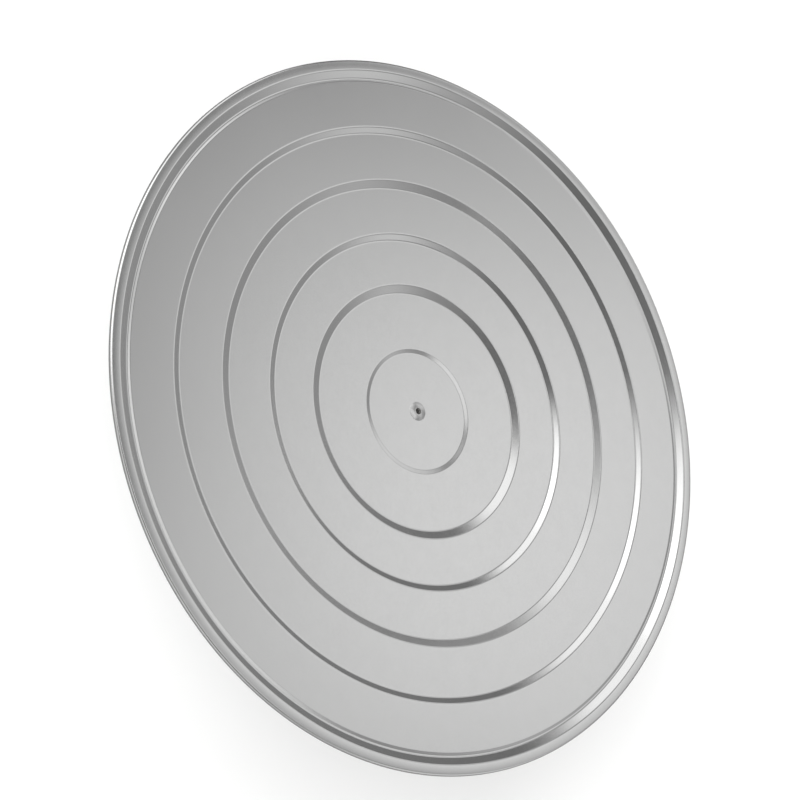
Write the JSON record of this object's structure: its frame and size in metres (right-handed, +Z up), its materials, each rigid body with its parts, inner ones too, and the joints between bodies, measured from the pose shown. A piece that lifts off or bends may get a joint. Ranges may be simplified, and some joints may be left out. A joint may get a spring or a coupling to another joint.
{
  "type": "banding wheel",
  "caption": "Low turntable for pottery: a round pressed sheet head with concentric steps and a hemmed rim, turning freely on ball bearings over a small cast foot.",
  "frame": {"origin": "on the table under the spindle: the middle of the bottom of the bounding box", "axes": "+Z up along the spindle; X and Y lie in the table's plane, midway between the feet"},
  "size_m": [0.3, 0.3, 0.095],
  "materials": {
    "head_steel": "thin pressed stainless sheet, satin fields, burnished steps and hemmed rim",
    "screw_steel": "turned stainless",
    "turned_aluminium": "turned, with fine tool marks",
    "black_screws": "blackened steel",
    "rubber": "matt black",
    "zinc_steel": "bright zinc plate",
    "ground_steel": "ground",
    "turned_steel": "turned, with fine tool marks",
    "spring_steel": "phosphated spring steel",
    "bearing_steel": "polished",
    "cage_nylon": "natural nylon",
    "enamelled_iron": "cast iron with a hammered grey enamel",
    "gasket": "pressed fibre"
  },
  "bodies": {
    "base": {"base_casting": "enamelled_iron", "housing_lock_screws": "black_screws", "bottom_plate": "zinc_steel", "bearing_housing": "turned_steel", "upper_outer_race": "bearing_steel", "lower_outer_race": "bearing_steel", "housing_circlip": "spring_steel", "dust_seal": "rubber", "cover_gasket": "gasket", "housing_cover": "zinc_steel", "cover_screws": "zinc_steel", "rubber_feet": "rubber", "foot_washers": "zinc_steel", "foot_screws": "zinc_steel"},
    "wheel": {"wheel_head": "head_steel", "head_screw": "screw_steel", "hub_flange": "turned_aluminium", "hub_set_screws": "black_screws", "cushion_ring": "rubber", "weld_studs": "zinc_steel", "stud_washers": "zinc_steel", "stud_nuts": "zinc_steel", "spindle": "ground_steel", "spindle_circlip": "spring_steel", "spacer_sleeve": "ground_steel", "upper_inner_race": "bearing_steel", "lower_inner_race": "bearing_steel"},
    "upper_cage_and_balls": {"upper_cage": "cage_nylon", "upper_balls": "bearing_steel"},
    "lower_cage_and_balls": {"lower_cage": "cage_nylon", "lower_balls": "bearing_steel"}
  },
  "joints": [
    {"name": "wheel_spin", "type": "hinge", "parent": "base", "child": "wheel", "pos_m": [0, 0, 0.05], "axis": [0, 0, 1], "continuous": true},
    {"name": "upper_cage_spin", "type": "hinge", "parent": "base", "child": "upper_cage_and_balls", "pos_m": [0, 0, 0.05], "axis": [0, 0, 1], "continuous": true},
    {"name": "lower_cage_spin", "type": "hinge", "parent": "base", "child": "lower_cage_and_balls", "pos_m": [0, 0, 0.025], "axis": [0, 0, 1], "continuous": true}
  ],
  "couplings": [
    {"joint": "upper_cage_spin", "follows": "wheel_spin", "ratio": 0.39758},
    {"joint": "lower_cage_spin", "follows": "wheel_spin", "ratio": 0.40842}
  ]
}
